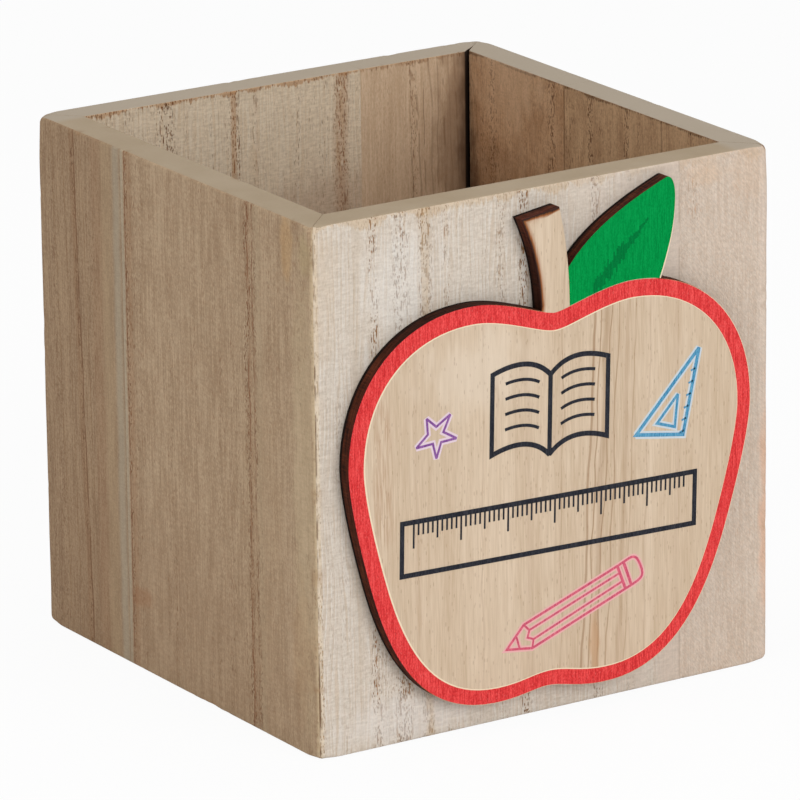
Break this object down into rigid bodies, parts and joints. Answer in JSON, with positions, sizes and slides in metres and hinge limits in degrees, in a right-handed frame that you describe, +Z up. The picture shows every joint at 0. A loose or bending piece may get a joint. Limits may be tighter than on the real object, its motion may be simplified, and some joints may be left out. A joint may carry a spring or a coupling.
{
  "type": "pen holder",
  "caption": "Open square wooden desk cup with mitred, edge-glued walls and a laser-cut plywood apple glued to its front; holds pens and pencils upright.",
  "frame": {"origin": "middle of the underside of the bottom board", "axes": "+Z up out of the open top, -Y out of the front that carries the apple, +X to the right of someone facing the front"},
  "size_m": [0.1, 0.1005, 0.1007],
  "materials": {
    "washed_wood": "matt, rough-sawn, pale washed, with short brown pores",
    "pinkish_wood": "matt, sanded, pinkish tan",
    "brown_wood": "matt, sanded, greyish brown with streaks of brown pores",
    "darker_wood": "matt, sanded, darker brown with slanting grain lines",
    "bottom_wood": "matt, sanded",
    "face_veneer": "fine-grained sanded veneer, satin",
    "burnt_plywood": "laser-burnt edge",
    "red_print": "printed ink, satin, wood grain showing through",
    "green_print": "printed ink, satin, wood grain showing through",
    "dark_green_print": "printed ink, satin",
    "cream_print": "pale edge of the printed areas, satin",
    "black_print": "printed ink, satin",
    "violet_print": "printed ink, satin",
    "blue_print": "printed ink, satin",
    "pink_print": "printed ink, satin"
  },
  "bodies": {
    "root": {"front_left_board": "washed_wood", "front_right_board": "pinkish_wood", "right_front_board": "brown_wood", "right_back_board": "darker_wood", "back_right_board": "brown_wood", "back_left_board": "washed_wood", "left_back_board": "darker_wood", "left_front_board": "brown_wood", "bottom_board": "bottom_wood", "plaque_back_ply": "burnt_plywood", "plaque_core_ply": "burnt_plywood", "plaque_face_ply": "face_veneer"}
  },
  "joints": []
}
